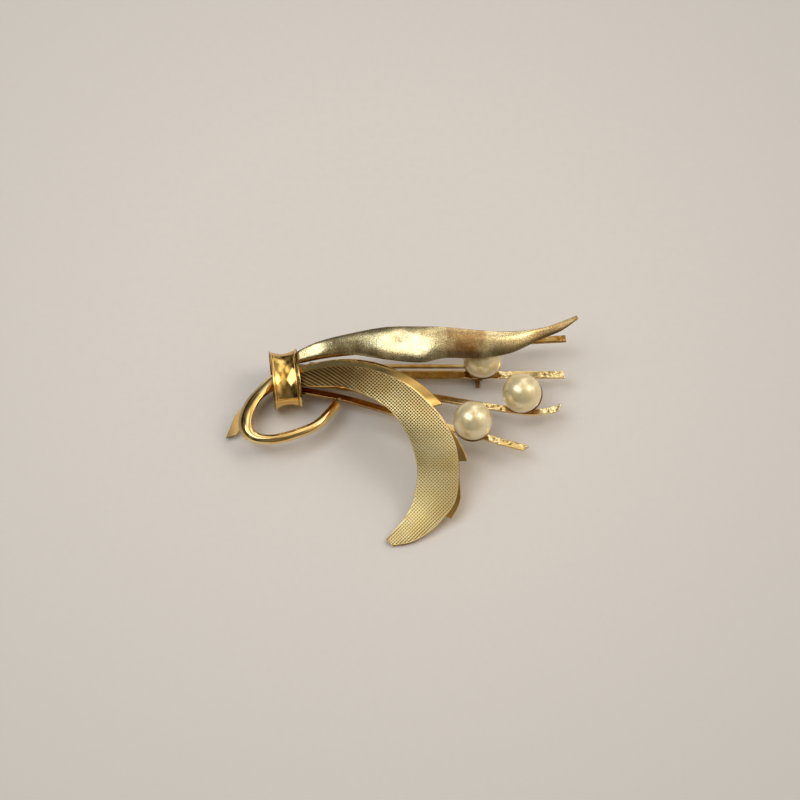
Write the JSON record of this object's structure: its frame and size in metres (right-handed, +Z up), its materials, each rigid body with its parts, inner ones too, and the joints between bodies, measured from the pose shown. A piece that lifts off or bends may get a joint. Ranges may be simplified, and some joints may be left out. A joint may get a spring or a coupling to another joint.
{
  "type": "brooch",
  "caption": "Spray brooch with a satin leaf, a cross-hatched sickle leaf and pearls on flat stems, bound by a collar with a ribbon loop, and a hinged pin with a roll-over catch behind.",
  "frame": {"origin": "middle of the outline at the surface the brooch lies on, face up", "axes": "+X along the spray from the loop towards the stems' cut ends, +Y towards the satin leaf, +Z up through the face"},
  "size_m": [0.0536, 0.0351, 0.0123],
  "materials": {
    "satin_gold": "satin stippled, tarnished",
    "hatched_gold": "fine cross-hatched",
    "polished_gold": "polished",
    "stem_gold": "polished, hammered ends",
    "findings_gold": "satin, tarnished",
    "solder": "matte",
    "pearl": "pearl lustre"
  },
  "bodies": {
    "brooch": {"polished_leaf": "satin_gold", "hatched_leaf": "hatched_gold", "collar": "polished_gold", "collar_solder": "solder", "ribbon_loop": "polished_gold", "loop_solder": "solder", "tail_strip": "polished_gold", "stem_back": "stem_gold", "stem_pin": "stem_gold", "stem_middle": "stem_gold", "stem_front": "stem_gold", "pearl_wire": "stem_gold", "pearl_1": "pearl", "pearl_2": "pearl", "pearl_3": "pearl", "pearl_cup_1": "polished_gold", "pearl_cup_2": "polished_gold", "pearl_cup_3": "polished_gold", "pearl_peg_1": "solder", "pearl_peg_2": "solder", "pearl_peg_3": "solder", "hinge_bracket": "findings_gold", "hinge_rivet": "findings_gold", "catch_housing": "findings_gold"},
    "pin": {"pin_stem": "findings_gold"},
    "rotor": {"catch_rotor": "findings_gold"}
  },
  "joints": [
    {"name": "pin_swing", "type": "hinge", "parent": "brooch", "child": "pin", "pos_m": [-0.0126, 0.0121, 0.0012], "axis": [0, 1, 0], "range_deg": [0, 95]},
    {"name": "catch_turn", "type": "hinge", "parent": "brooch", "child": "rotor", "pos_m": [0.0115, 0.0121, 0.0012], "axis": [-1, 0, 0], "range_deg": [0, 60]}
  ]
}
